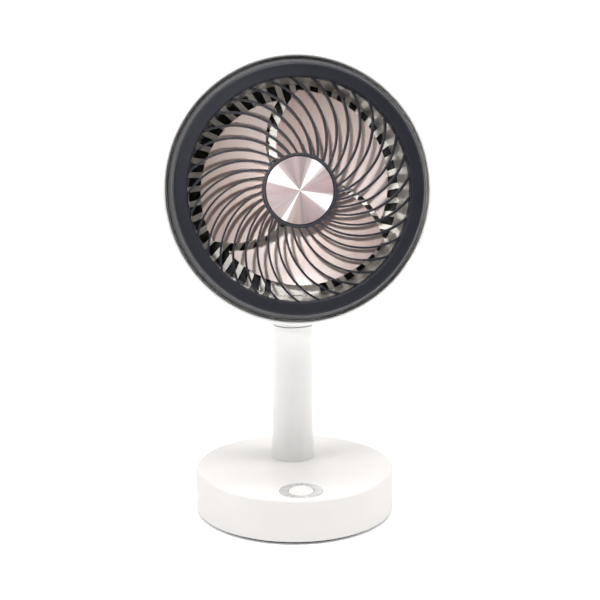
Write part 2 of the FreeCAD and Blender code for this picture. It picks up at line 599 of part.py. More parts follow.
def make_head_shell():
    """The white rear shell: a short drum with a rounded rear edge and an open back."""
    inner = "head_radius - shell_wall"
    rear = "0 - head_depth"
    shell = turned("shell_drum", [
        ("head_radius", "0 - shell_front"), ("head_radius", rear), (REAR_OPENING, rear),
        (REAR_OPENING, rear + " + shell_wall"), (inner, rear + " + shell_wall"),
        (inner, "0 - shell_front")],
        [(1, "shell_round"), (4, "shell_round - shell_wall"), (0, "lip_round"), (5, "lip_round")])
    holes = head_screw_holes("shell_hole", "0 - head_depth", "shell_wall", CLEAR_HOLE)
    holes += bracket_holes("shell_bracket_hole", "0 - head_depth", "shell_wall", THREAD_HOLE)
    keep(cut("head_shell", shell, holes), "head_shell", HEAD)


def head_screw_holes(name, low, height, radius):
    """Holes for the four screws that close the head."""
    return rods_around(name, radius, height, HEAD_BOSS_CIRCLE, low, HEAD_SCREW_ANGLES)


def bracket_points():
    """Formulas for the four bracket screws about the bracket's middle."""
    for x_side in ("", "0 - "):
        for y_side in ("+", "-"):
            x = x_side + "bracket_screw_x / 2"
            yield x, "0 - %s %s bracket_screw_y / 2" % (TILT_DROP, y_side)


def bracket_holes(name, low, height, radius):
    """Holes on the bracket's screw pattern."""
    return [rod(name, radius, height, x, y, low) for x, y in bracket_points()]


def make_duct():
    """The glossy air duct, with a flange behind the front cover and four screw bosses."""
    inner = "opening_radius"
    outer = "opening_radius + duct_wall"
    flange = "head_radius - shell_wall - part_gap"
    flange_front = "0 - flare_depth - part_gap"
    rear = "0 - head_depth + slat_depth + part_gap"
    tube = turned("duct_tube", [
        (inner, "0 - opening_depth - part_gap"), (inner, rear), (outer, rear),
        (outer, flange_front + " - duct_flange"), (flange, flange_front + " - duct_flange"),
        (flange, flange_front), (outer, flange_front), (outer, "0 - opening_depth - part_gap")])
    boss_low = "0 - head_depth + shell_wall + grille_flange + part_gap"
    boss_height = "%s - (%s)" % (flange_front + " - duct_flange", boss_low)
    bosses = rods_around("duct_boss", "head_boss", boss_height, HEAD_BOSS_CIRCLE, boss_low,
                         HEAD_SCREW_ANGLES)
    holes = rods_around("duct_hole", THREAD_HOLE, "screw_bite + screw_spare", HEAD_BOSS_CIRCLE, boss_low,
                        HEAD_SCREW_ANGLES)
    keep(cut("air_duct", fuse("duct_blank", [tube] + bosses), holes), "air_duct", HEAD)


def make_rear_grille():
    """The rear grille's moulding in three pieces: flanged rim with block, slats and slotted middle."""
    flange_low = GRILLE_REAR + " + shell_wall + rest_gap"
    flange_outer = REAR_OPENING + " + grille_overlap"
    rim = turned("grille_rim", [
        (RIM_INNER, GRILLE_REAR), (RIM_OUTER, GRILLE_REAR), (RIM_OUTER, flange_low),
        (flange_outer, flange_low), (flange_outer, flange_low + " + grille_flange"),
        (RIM_INNER, flange_low + " + grille_flange")])
    through = "shell_wall + rest_gap + grille_flange + screw_spare"
    holes = head_screw_holes("grille_hole", flange_low, "grille_flange", CLEAR_HOLE)
    holes += bracket_holes("grille_bracket_hole", GRILLE_REAR, through, THREAD_HOLE)
    keep(cut("rear_grille", fuse("grille_blank", [rim, grille_block()]), holes), "rear_grille", HEAD)
    stretch = common("slat_stretch", [
        make_slats("slats", "slat_depth"),
        slat_room("slat_reach", "slat_inner + rest_gap", RIM_INNER + " - part_gap")])
    keep(cut("rear_slats", stretch, [grille_block("rest_gap")]), "rear_slats", HEAD)
    make_grille_middle()


def make_grille_middle():
    """The closed middle of the rear grille with a ring of small vents, where the motor is fixed."""
    parts = [slat_room("grille_ring", "vent_outer", "slat_inner"),
             slat_room("grille_disc", "0", "vent_inner")]
    vents = common("vent_bars", [make_slats("vent_slats", "slat_depth"),
                                 slat_room("vent_reach", "vent_inner - slat_root", "vent_outer + slat_root")])
    holes = rods_around("grille_motor_hole", CLEAR_HOLE, "slat_depth", "mount_screw_circle", GRILLE_REAR,
                        MOUNT_SCREW_ANGLES)
    middle = fuse("middle_blank", parts + [vents])
    keep(cut("rear_middle", middle, holes), "rear_middle", HEAD)


def grille_block(margin="0"):
    """The solid block that carries the tilt bracket's screws, grown by a margin at its edges."""
    low, top = REAR_OPENING + " - block_inset", TILT_DROP + " - block_above"
    height = "%s - (%s) + 2 * %s" % (low, top, margin)
    return block("grille_block", "block_width + 2 * " + margin, height, "slat_depth", 0,
                 "0 - (%s + %s) / 2" % (low, top), GRILLE_REAR)


def slat_room(name, inner, outer):
    """A ring as deep as the slats."""
    return washer(name, inner, outer, GRILLE_REAR, GRILLE_REAR + " + slat_depth")


def make_slats(name, depth, level="0 - head_depth"):
    """All slats as one body: a straight slanted bar repeated about the axis."""
    body = doc.addObject("PartDesign::Body", name)
    sketch = add_sketch(body, name + "_outline", "XY_Plane")
    reach = "(%s - part_gap - grille_rim / 2)" % REAR_OPENING
    start = "(vent_inner - slat_root)"
    half = "slat_width / 2"
    lean = "tan(slat_slant) * (%s - %s) / 2" % (reach, start)
    draw_corners(sketch, [
        (start, "0 - %s - %s" % (half, lean)), (reach, "%s - %s" % (lean, half)),
        (reach, "%s + %s" % (lean, half)), (start, "%s - %s" % (half, lean))])
    pad = body.newObject("PartDesign::Pad", name + "_pad")
    pad.Profile = sketch
    bind(pad, Length=depth)
    repeat_round(body, pad, sketch, "slat_count")
    return put(body, 0, 0, level)


def make_dust_screen():
    """The thin frame of the dust screen: two rings and a bar behind each slat, notched for the bracket."""
    top = GRILLE_REAR + " - seat_gap"
    low = top + " - screen_thickness"
    edge = RIM_OUTER + " - screen_edge"
    outer = washer("screen_outer", edge, RIM_OUTER, low, top)
    inner = washer("screen_inner", "vent_inner - slat_root", "slat_inner", low, top)
    bars = make_slats("screen_bars", "screen_thickness", low)
    notch = block("screen_notch", "bracket_width + 2 * screen_room", "bracket_height + 2 * screen_room",
                  "screen_thickness", 0, "0 - " + TILT_DROP, low)
    frame = fuse("screen_blank", [outer, inner, bars])
    keep(cut("dust_screen", frame, [notch]), "dust_screen", HEAD)


def repeat_round(body, feature, sketch, count):
    """Repeat a feature about the sketch's normal axis and make that the body's tip."""
    doc.recompute()
    pattern = body.newObject("PartDesign::PolarPattern", feature.Name + "_pattern")
    pattern.Originals = [feature]
    pattern.Axis = (sketch, ["N_Axis"])
    pattern.Angle = 360
    bind(pattern, Occurrences=count)
    body.Tip = pattern
    doc.recompute()


def make_rear_cap():
    """The round cap that hides the motor screws at the back."""
    rear = GRILLE_REAR + " - seat_gap"
    back = rear + " - cap_depth"
    cap = turned("rear_cap", [
        ("cap_radius", rear), ("cap_radius", back), ("0", back), ("0", back + " + cap_wall"),
        ("cap_radius - cap_wall", back + " + cap_wall"), ("cap_radius - cap_wall", rear)],
        [(1, "cap_round"), (4, "cap_round - cap_wall")])
    keep(cap, "rear_cap", HEAD)


def make_front_ring():
    """The black front ring: rounded annulus, flared side wall and the sleeve for the grille."""
    sleeve = "opening_radius + grille_ring_wall + part_gap"
    lip = "0 - face_wall - lip_land"
    slope = "(%s - face_radius) / flare_depth * face_wall" % FLARE_RADIUS
    ring = turned("front_ring", [
        ("opening_radius", "0"), ("face_radius", "0"), (FLARE_RADIUS, "0 - flare_depth"),
        (FLARE_RADIUS + " - face_wall", "0 - flare_depth"),
        ("face_radius - face_wall + " + slope, "0 - face_wall"),
        (sleeve + " + face_wall", "0 - face_wall"), (sleeve + " + face_wall", "0 - opening_depth"),
        (sleeve, "0 - opening_depth"), (sleeve, lip), ("opening_radius", lip)],
        [(1, "face_round"), (0, "opening_round")])
    keep(ring, "front_ring", HEAD)


def make_front_grille():
    """The grille set in the front ring: an outer ring, curved ribs and the middle cup."""
    rim = washer("grille_edge", "opening_radius", "opening_radius + grille_ring_wall",
                 "0 - opening_depth", "0 - face_wall - lip_land - rest_gap")
    back = "0 - hub_ring_front - hub_ring_depth"
    inner = "hub_ring - hub_ring_wall"
    cup = turned("grille_cup", [
        (inner, "0 - hub_ring_front"), ("hub_ring", "0 - hub_ring_front"), ("hub_ring", back), ("0", back),
        ("0", back + " + hub_plate"), (inner, back + " + hub_plate")], [(1, "hub_ring_round")])
    keep(fuse("front_grille", [rim, cup, make_ribs()]), "front_grille", HEAD)


def rib_crossing(arc, circle):
    """The point where an arc of the rib crosses a circle about the axis."""
    reach = size(RIB_REACH)
    cosine = (circle ** 2 + reach ** 2 - arc ** 2) / (2 * circle * reach)
    angle = math.radians(size("rib_phase")) - math.acos(cosine)
    return Vector(circle * math.cos(angle), circle * math.sin(angle), 0)


def make_ribs():
    """All ribs as one body: two arcs about one centre, repeated about the axis."""
    body = doc.addObject("PartDesign::Body", "ribs")
    sketch = add_sketch(body, "rib_outline", "XY_Plane")
    root, tip = "hub_ring - rib_root", "opening_radius + rib_root"
    arcs = [RIB_ARC + " - rib_thickness / 2", RIB_ARC + " + rib_thickness / 2"]
    phase = math.radians(size("rib_phase"))
    centre = Vector(math.cos(phase), math.sin(phase), 0) * size(RIB_REACH)
    for text in arcs:
        ends = [rib_crossing(size(text), size(root)), rib_crossing(size(text), size(tip))]
        angles = [math.atan2(point.y - centre.y, point.x - centre.x) for point in ends]
        circle = Part.Circle(centre, Vector(0, 0, 1), size(text))
        sketch.addGeometry(Part.ArcOfCircle(circle, angles[0], angles[1]), False)
    for pos in (1, 2):
        start = sketch.getPoint(0, pos)
        sketch.addGeometry(Part.LineSegment(start, sketch.getPoint(1, pos)), False)
    link_rib(sketch, arcs, root, tip)
    pad = body.newObject("PartDesign::Pad", "rib_pad")
    pad.Profile = sketch
    bind(pad, Length="rib_depth")
    repeat_round(body, pad, sketch, "rib_count")
    return put(body, 0, 0, "0 - rib_recess - rib_depth")


def link_rib(sketch, arcs, root, tip):
    """Tie the rib's arcs to their centre, radii and end circles, and close the outline."""
    rules = [("Radius", (0,), arcs[0]), ("Radius", (1,), arcs[1]),
             ("DistanceX", (-1, 1, 0, 3), RIB_REACH + " * cos(rib_phase)"),
             ("DistanceY", (-1, 1, 0, 3), RIB_REACH + " * sin(rib_phase)"),
             ("Distance", (-1, 1, 0, 1), root), ("Distance", (-1, 1, 0, 2), tip),
             ("Distance", (-1, 1, 1, 1), root), ("Distance", (-1, 1, 1, 2), tip)]
    sketch.addConstraint(Sketcher.Constraint("Coincident", 0, 3, 1, 3))
    for line, pos in ((2, 1), (3, 2)):
        sketch.addConstraint(Sketcher.Constraint("Coincident", line, 1, 0, pos))
        sketch.addConstraint(Sketcher.Constraint("Coincident", line, 2, 1, pos))
    for kind, where, text in rules:
        index = sketch.addConstraint(Sketcher.Constraint(kind, *where, size(text)))
        sketch.setExpression("Constraints[%d]" % index, formula(text))


def make_hub_disc():
    """The spun metal disc in the middle cup."""
    low = "0 - hub_ring_front - hub_ring_depth + hub_plate"
    outer = "hub_ring - hub_ring_wall - disc_gap"
    keep(disc("hub_disc", outer, low, low + " + disc_thickness", [(2, "disc_round")]), "hub_disc", HEAD)


def make_tilt_bracket():
    """The plate on the head's back with the tongue that turns on the pin, and its screws."""
    rear = "0 - head_depth"
    plate_low = rear + " - bracket_plate - seat_gap"
    plate = block("bracket_plate_blank", "bracket_width", "bracket_height", "bracket_plate", 0,
                  "0 - " + TILT_DROP, plate_low)
    bar = block("tongue_bar", "tongue_width", "2 * tongue_radius", "pin_behind", 0,
                "0 - " + TILT_DROP, "0 - " + HEAD_REACH)
    end = rod("tongue_end", "tongue_radius", "tongue_width", "0 - tongue_width / 2", "0 - " + TILT_DROP,
              "0 - " + HEAD_REACH, "X")
    tools = [rod("tongue_hole", "pin_radius + shaft_gap", "tongue_width", "0 - tongue_width / 2",
                 "0 - " + TILT_DROP, "0 - " + HEAD_REACH, "X")]
    tools += bracket_holes("bracket_hole", plate_low, "bracket_plate", CLEAR_HOLE)
    keep(cut("tilt_bracket", fuse("bracket_blank", [plate, bar, end]), tools), "tilt_bracket", HEAD)
    screws = []
    for x, y in bracket_points():
        shank = rod("bracket_shank", "screw_radius", "bracket_plate + bracket_bite", x, y, plate_low)
        head = rod("bracket_head", "screw_head", "screw_head_height", x, y,
                   plate_low + " - screw_head_height")
        screws.append(fuse("bracket_screw", [shank, head]))
    keep(group("bracket_screws", screws), "bracket_screws", HEAD)


def make_head_screws():
    """The four screws that close the head and the three that hold the motor."""
    keep(screws_around("head_screws", HEAD_BOSS_CIRCLE, HEAD_SCREW_ANGLES, "0 - head_depth",
                       "shell_wall + grille_flange + screw_bite", -1), "head_screws", HEAD)
    keep(screws_around("mount_screws", "mount_screw_circle", MOUNT_SCREW_ANGLES, "0 - head_depth",
                       "slat_depth + mount_thickness - part_gap", -1), "mount_screws", HEAD)


# Motor.
MOUNT_BACK = "0 - head_depth + slat_depth"


def make_motor_mount():
    """The flanged bearing tube, its two bearings and the ring-shaped board."""
    face = MOUNT_BACK + " + mount_thickness"
    bore = "bearing_radius + press_gap"
    blank = turned("mount_blank", [
        (bore, MOUNT_BACK), ("mount_radius", MOUNT_BACK), ("mount_radius", face), ("mount_tube", face),
        ("mount_tube", "0 - " + MOUNT_FRONT), (bore, "0 - " + MOUNT_FRONT)])
    holes = rods_around("mount_hole", THREAD_HOLE, "mount_thickness", "mount_screw_circle", MOUNT_BACK,
                        MOUNT_SCREW_ANGLES)
    keep(cut("motor_mount", blank, holes), "motor_mount", HEAD)
    rear = washer("rear_bearing", "bearing_bore", "bearing_radius", MOUNT_BACK + " + bearing_inset",
                  MOUNT_BACK + " + bearing_inset + bearing_width")
    front_top = "0 - %s - bearing_inset / 2" % MOUNT_FRONT
    front = washer("front_bearing", "bearing_bore", "bearing_radius", front_top + " - bearing_width",
                   front_top)
    keep(group("bearings", [rear, front]), "bearings", HEAD)
    keep(washer("motor_board", "mount_tube + loose_gap", "motor_board_outer", face + " + seat_gap",
                face + " + seat_gap + motor_board_thickness"), "motor_board", HEAD)


def make_stator():
    """The stator's toothed core with one coil round each tooth."""
    low, height = "0 - " + STATOR_BACK, "stator_height"
    tooth_start = "mount_tube + tooth_root"
    tooth_length = STATOR_RADIUS + " - mount_tube - tooth_root"
    ring = washer("stator_ring", "mount_tube + seat_gap", STATOR_RING, low, low + " + " + height)
    teeth, coils = [], []
    for angle in around(int(size("tooth_count")), 0.0):
        tooth = bar_out("tooth", tooth_start, tooth_length, "tooth_width", height, low, angle)
        teeth.append(tooth)
        length = "%s - (%s) - coil_start - coil_short" % (STATOR_RADIUS, STATOR_RING)
        grow = "coil_thickness + coil_gap"
        outer = bar_out("coil_outer", STATOR_RING + " + coil_start", length, "tooth_width + 2 * (%s)" % grow,
                        "%s + 2 * (%s)" % (height, grow), "%s - (%s)" % (low, grow), angle)
        inner = bar_out("coil_inner", STATOR_RING + " + coil_start - coil_gap", length + " + 2 * coil_gap",
                        "tooth_width + 2 * coil_gap",
                        height + " + 2 * coil_gap", low + " - coil_gap", angle)
        coils.append(cut("coil", outer, [inner]))
    keep(fuse("stator_core", [ring] + teeth), "stator_core", HEAD)
    keep(group("stator_coils", coils), "stator_coils", HEAD)


def bar_out(name, start, length, width, height, z, angle):
    """A box that runs outwards from the axis at an angle."""
    bar = doc.addObject("Part::Box", name)
    bind(bar, Length=length, Width=width, Height=height)
    bar.Placement = Placement(Vector(), Rotation(Vector(0, 0, 1), angle))
    cosine, sine = math.cos(math.radians(angle)), math.sin(math.radians(angle))
    x = "(%s) * %.10f + (%s) / 2 * %.10f" % (start, cosine, width, sine)
    y = "(%s) * %.10f - (%s) / 2 * %.10f" % (start, sine, width, cosine)
    return put(bar, x, y, z)


def make_rotor():
    """The steel bell, ring magnet, axle and lock nut that turn with the impeller."""
    inner = BELL_RADIUS + " - bell_wall"
    bell = turned("rotor_bell", [
        ("axle_radius + press_gap", "0 - " + BELL_FRONT), (BELL_RADIUS, "0 - " + BELL_FRONT),
        (BELL_RADIUS, "0 - " + BELL_BACK), (inner, "0 - " + BELL_BACK),
        (inner, "0 - %s - bell_wall" % BELL_FRONT),
        ("axle_radius + press_gap", "0 - %s - bell_wall" % BELL_FRONT)], [(1, "bell_round")])
    keep(bell, "rotor_bell", HEAD)
    magnet_low = "0 - %s + magnet_inset" % BELL_BACK
    keep(washer("ring_magnet", MAGNET_INNER, MAGNET_INNER + " + magnet_thickness", magnet_low,
                magnet_low + " + magnet_length"), "ring_magnet", HEAD)
    keep(disc("axle", "axle_radius", "0 - " + AXLE_BACK, "0 - axle_front", [(2, "shaft_round")]), "axle",
         HEAD)
    nut = doc.addObject("Part::Prism", "nut_blank")
    nut.Polygon = 6
    bind(nut, Circumradius="nut_radius", Height="nut_height - rest_gap")
    put(nut, 0, 0, "0 - hub_front + rest_gap")
    hole = rod("nut_hole", "axle_radius + press_gap", "nut_height", 0, 0, "0 - hub_front")
    keep(cut("impeller_nut", nut, [hole]), "impeller_nut", HEAD)


def blade_point(radial, along, side):
    """A point of a blade's skin: radial and along run from 0 to 1, side is +1 or -1."""
    tip = size("opening_radius - tip_gap") + (size("tip_gap") - size("tip_gap_back")) * along
    root = size("hub_radius - blade_sink")
    radius = root + (tip - root) * radial
    lead = size("blade_lead_root") + (size("blade_lead_tip") - size("blade_lead_root")) * radial
    angle = math.radians(lead - size("blade_wrap") * along)
    fall = size("head_depth - blade_stand - blade_front")
    depth = size("blade_front") + fall * along - size("blade_camber") * math.sin(math.pi * along)
    edge = size("blade_edge")
    thickness = size("blade_thickness") * (edge + (1 - edge) * math.sin(math.pi * along))
    return Vector(radius * math.cos(angle), radius * math.sin(angle), side * thickness / 2 - depth)


# Spaces across and along the grid of points that a blade's skins pass through.
ROWS = 5
COLUMNS = 10


def make_blade():
    """One blade: a front and a rear skin joined by ruled edges."""
    skins = []
    for side in (1, -1):
        grid = [[blade_point(i / ROWS, j / COLUMNS, side) for j in range(COLUMNS + 1)]
                for i in range(ROWS + 1)]
        surface = Part.BSplineSurface()
        surface.interpolate(grid)
        skins.append(surface.toShape())
    front, rear = skins
    sides = [Part.makeRuledSurface(a, b) for a, b in zip(front.Edges, rear.Edges)]
    shell = Part.makeShell([front, rear] + sides)
    shell.sewShape()
    blade = Part.makeSolid(shell)
    if blade.Volume < 0:
        blade.reverse()
    return blade


def make_impeller():
    """Three broad swept blades on a cup-shaped hub with a boss for the axle."""
    inner = "hub_radius - hub_wall"
    bore = "axle_radius + press_gap"
    boss_back = "0 - %s + rest_gap" % BELL_FRONT
    floor = "0 - hub_front - hub_wall"
    hub = turned("hub_cup", [
        (bore, "0 - hub_front"), ("hub_radius", "0 - hub_front"), ("hub_radius", "0 - " + HUB_BACK),
        (inner, "0 - " + HUB_BACK),
        (inner, floor), ("hub_boss", floor), ("hub_boss", boss_back), (bore, boss_back)], [(1, "hub_round")])
    blades = []
    for angle in around(int(size("blade_count")), 0.0):
        blade = doc.addObject("Part::Feature", "blade")
        blade.Shape = make_blade()
        blade.Placement = Placement(Vector(), Rotation(Vector(0, 0, 1), angle))
        blades.append(blade)
    keep(fuse("impeller", [hub] + blades), "impeller", HEAD)


def build():
    """Make every piece in the order in which the fan is put together."""
    fill_sheet()
    make_base_shell()
    make_base_underside()
    make_battery()
    make_inlet()
    make_button()
    make_column()
    make_swivel()
    make_neck_shells()
    make_yoke()
    make_tilt_pin()
    make_head_shell()
    make_duct()
    make_rear_grille()
    make_dust_screen()
    make_rear_cap()
    make_front_ring()
    make_front_grille()
    make_hub_disc()
    make_tilt_bracket()
    make_head_screws()
    make_motor_mount()
    make_stator()
    make_rotor()
    make_impeller()
    doc.recompute()


def check_and_export():
    """Stop on any failed object or bad shape, then write one STEP file for each piece."""
    for thing in doc.Objects:
        if "Invalid" in thing.State or "Error" in thing.State:
            raise RuntimeError("%s failed: %s" % (thing.Label, thing.State))
    os.makedirs("parts", exist_ok=True)
    for piece in nodes:
        shape = piece.Shape
        if shape.isNull() or not shape.isValid() or not shape.Solids:
            raise RuntimeError("%s has no valid solid" % piece.Label)
        print("%-18s solids %2d volume %10.1f" % (piece.Label, len(shape.Solids), shape.Volume))
    for piece in nodes:
        piece.Shape.exportStep(os.path.join("parts", piece.Label + ".step"))


build()
check_and_export()
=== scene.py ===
import json
import math

import bmesh
import bpy
from mathutils import Matrix, Vector


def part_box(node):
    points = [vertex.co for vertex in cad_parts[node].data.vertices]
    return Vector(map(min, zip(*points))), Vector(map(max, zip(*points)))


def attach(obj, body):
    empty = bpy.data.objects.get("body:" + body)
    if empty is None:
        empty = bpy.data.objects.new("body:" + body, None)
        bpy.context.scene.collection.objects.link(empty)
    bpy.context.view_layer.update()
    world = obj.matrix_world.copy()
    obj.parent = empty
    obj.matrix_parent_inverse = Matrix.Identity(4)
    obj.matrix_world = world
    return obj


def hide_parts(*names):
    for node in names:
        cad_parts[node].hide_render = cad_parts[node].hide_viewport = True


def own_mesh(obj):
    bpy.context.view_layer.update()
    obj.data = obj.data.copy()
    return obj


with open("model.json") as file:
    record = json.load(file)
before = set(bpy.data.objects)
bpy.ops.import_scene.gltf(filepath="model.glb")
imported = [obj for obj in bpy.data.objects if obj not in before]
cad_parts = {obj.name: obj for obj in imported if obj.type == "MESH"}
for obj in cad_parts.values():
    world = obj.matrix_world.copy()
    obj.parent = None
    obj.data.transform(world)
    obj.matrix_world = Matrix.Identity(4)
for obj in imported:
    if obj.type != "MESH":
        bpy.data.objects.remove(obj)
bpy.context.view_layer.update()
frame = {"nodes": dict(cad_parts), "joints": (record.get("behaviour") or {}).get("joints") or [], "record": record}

NODES = frame["nodes"]

# The head's own frame, read from the joints: the origin is on the axle, +Z faces forward.
JOINTS = {joint["name"]: joint for joint in frame["joints"]}
HEAD_ORIGIN = Vector(JOINTS["rotor_spin"]["pos_m"])
HEAD_FORWARD = Vector(JOINTS["rotor_spin"]["axis"]).normalized()
HEAD_ANGLE = math.atan2(-HEAD_FORWARD.y, HEAD_FORWARD.z)
BASE_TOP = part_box("base_shell")[1].z
RING_LOW, RING_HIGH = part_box("button_ring")
RING_MIDDLE = (RING_LOW + RING_HIGH) / 2
GRILLE_LOW, GRILLE_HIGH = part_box("front_grille")
GRILLE_RADIUS = (GRILLE_HIGH.x - GRILLE_LOW.x) / 2

# Where the front ring's flat face ends and its flared wall starts.
FACE_RADIUS = 0.0948
FACE_BLEND = 0.0004

# Camera: a portrait lens a little above the head's middle, slightly to the fan's right, tilted down.
CAMERA_AWAY = 0.778
CAMERA_ABOVE_BASE = 0.273
CAMERA_SIDE = math.radians(4.5)
CAMERA_PAN = math.radians(0.32)
CAMERA_DOWN = math.radians(9.75)
CAMERA_LENS = 58.26
SENSOR = 36.0


# ---------------------------------------------------------------- materials
class Shader:
    """A node material with a principled shader and small helpers to build its inputs."""

    def __init__(self, name, colour, roughness, metallic=0.0):
        self.material = bpy.data.materials.new(name)
        self.material.use_nodes = True
        self.tree = self.material.node_tree
        self.shader = self.tree.nodes["Principled BSDF"]
        self.shader.inputs["Base Color"].default_value = (*colour, 1)
        self.shader.inputs["Roughness"].default_value = roughness
        self.shader.inputs["Metallic"].default_value = metallic

    def set(self, **values):
        """Set constants on the shader's own sockets; underscores stand for spaces."""
        for name, value in values.items():
            self.shader.inputs[name.replace("_", " ")].default_value = value
        return self

    def node(self, kind, **values):
        """Add a node and set its inputs or properties."""
        made = self.tree.nodes.new(kind)
        for name, value in values.items():
            if name in made.inputs:
                made.inputs[name].default_value = value
            else:
                setattr(made, name, value)
        return made

    def link(self, source, target):
        self.tree.links.new(source, target)
        return self

    def place(self):
        """Coordinates in metres that stay with the piece."""
        return self.node("ShaderNodeTexCoord").outputs["Object"]

    def noise(self, scale, detail=3.0, roughness=0.55, at=None):
        """A noise value, with the scale in cells per metre."""
        noise = self.node("ShaderNodeTexNoise", Scale=scale, Detail=detail, Roughness=roughness)
        self.link(at or self.place(), noise.inputs["Vector"])
        return noise.outputs["Fac"]

    def math(self, operation, first, second=None):
        """A math node on sockets or numbers."""
        made = self.node("ShaderNodeMath", operation=operation)
        for slot, value in enumerate((first, second)):
            if value is None:
                continue
            if isinstance(value, (int, float)):
                made.inputs[slot].default_value = value
            else:
                self.link(value, made.inputs[slot])
        return made.outputs[0]

    def span(self, value, low, high, start=0.0, end=1.0):
        """Map a value from start..end to low..high."""
        made = self.node("ShaderNodeMapRange")
        for name, number in (("From Min", start), ("From Max", end), ("To Min", low), ("To Max", high)):
            made.inputs[name].default_value = number
        self.link(value, made.inputs["Value"])
        return made.outputs["Result"]

    def ramp(self, value, stops):
        """Colours along a value, from (place, colour) stops."""
        made = self.node("ShaderNodeValToRGB")
        elements = made.color_ramp.elements
        while len(elements) < len(stops):
            elements.new(0.5)
        for element, (place, colour) in zip(elements, stops):
            element.position = place
            element.color = (*colour, 1)
        self.link(value, made.inputs["Fac"])
        return made.outputs["Color"]

    def mix(self, value, first, second, blend="MIX"):
        """Mix two colours or colour sockets."""
        made = self.node("ShaderNodeMix", data_type="RGBA", blend_type=blend)
        for slot, colour in ((6, first), (7, second)):
            if isinstance(colour, (tuple, list)):
                made.inputs[slot].default_value = (*colour, 1)
            else:
                self.link(colour, made.inputs[slot])
        if isinstance(value, (int, float)):
            made.inputs[0].default_value = value
        else:
            self.link(value, made.inputs[0])
        return made.outputs[2]

    def colour(self, socket):
        return self.link(socket, self.shader.inputs["Base Color"])

    def roughness(self, socket):
        return self.link(socket, self.shader.inputs["Roughness"])

    def bump(self, *layers, edge=None):
        """Stack (height socket, strength, distance) bump layers, on softly rounded edges if asked."""
        normal = None
        if edge:
            normal = self.node("ShaderNodeBevel", samples=4, Radius=edge).outputs["Normal"]
        for height, strength, distance in layers:
            bump = self.node("ShaderNodeBump", Strength=strength, Distance=distance)
            self.link(height, bump.inputs["Height"])
            if normal is not None:
                self.link(normal, bump.inputs["Normal"])
            normal = bump.outputs["Normal"]
        return self.link(normal, self.shader.inputs["Normal"])


def moulded(name, colour, roughness, grain=2200.0, depth=0.12, mottle=0.03, coat=0.0, wave=None):
    """Moulded plastic: slight mottling, fine grain, uneven gloss and, if asked, slow moulding waves."""
    made = Shader(name, colour, roughness)
    made.set(Coat_Weight=coat, Coat_Roughness=0.08, IOR=1.49)
    slow = made.noise(28.0, 4.0)
    light = tuple(min(1.0, c * (1 + mottle)) for c in colour)
    dark = tuple(c * (1 - mottle) for c in colour)
    made.colour(made.mix(made.span(slow, 0, 1, 0.3, 0.7), dark, light))
    made.roughness(made.span(made.noise(140.0, 5.0), roughness * 0.86, roughness * 1.18, 0.25, 0.75))
    layers = [(made.noise(grain, 2.0), depth, 0.00006)]
    if wave:
        layers.append((made.noise(wave, 1.0), 0.05, 0.0008))
    made.bump(*layers, edge=0.0004)
    return made


def metal(name, colour, roughness, brushing=(900.0, 40.0, 40.0)):
    """Plain machined metal with fine brushing and slight tarnish."""
    made = Shader(name, colour, roughness, 1.0)
    scale = made.node("ShaderNodeMapping", Scale=brushing)
    made.link(made.place(), scale.inputs["Vector"])
    lines = made.noise(1.0, 4.0, 0.6, scale.outputs["Vector"])
    worn = made.noise(60.0, 4.0)
    dull = tuple(c * 0.8 for c in colour)
    made.colour(made.mix(made.span(worn, 0, 1, 0.35, 0.7), dull, colour))
    made.roughness(made.span(lines, roughness * 0.75, roughness * 1.3, 0.3, 0.7))
    made.bump((lines, 0.12, 0.00004))
    return made


def turn_coordinates(made, origin, angle):
    """Coordinates about an axis: X right, Y up and Z along the axis, after undoing the lean."""
    turn = made.node("ShaderNodeMapping", vector_type="TEXTURE")
    turn.inputs["Location"].default_value = origin
    turn.inputs["Rotation"].default_value = (angle, 0, 0)
    made.link(made.place(), turn.inputs["Vector"])
    parts = made.node("ShaderNodeSeparateXYZ")
    made.link(turn.outputs["Vector"], parts.inputs["Vector"])
    return parts.outputs


def radius_of(made, x, y):
    """The distance from the axis."""
    return made.math("SQRT", made.math("ADD", made.math("POWER", x, 2.0), made.math("POWER", y, 2.0)))


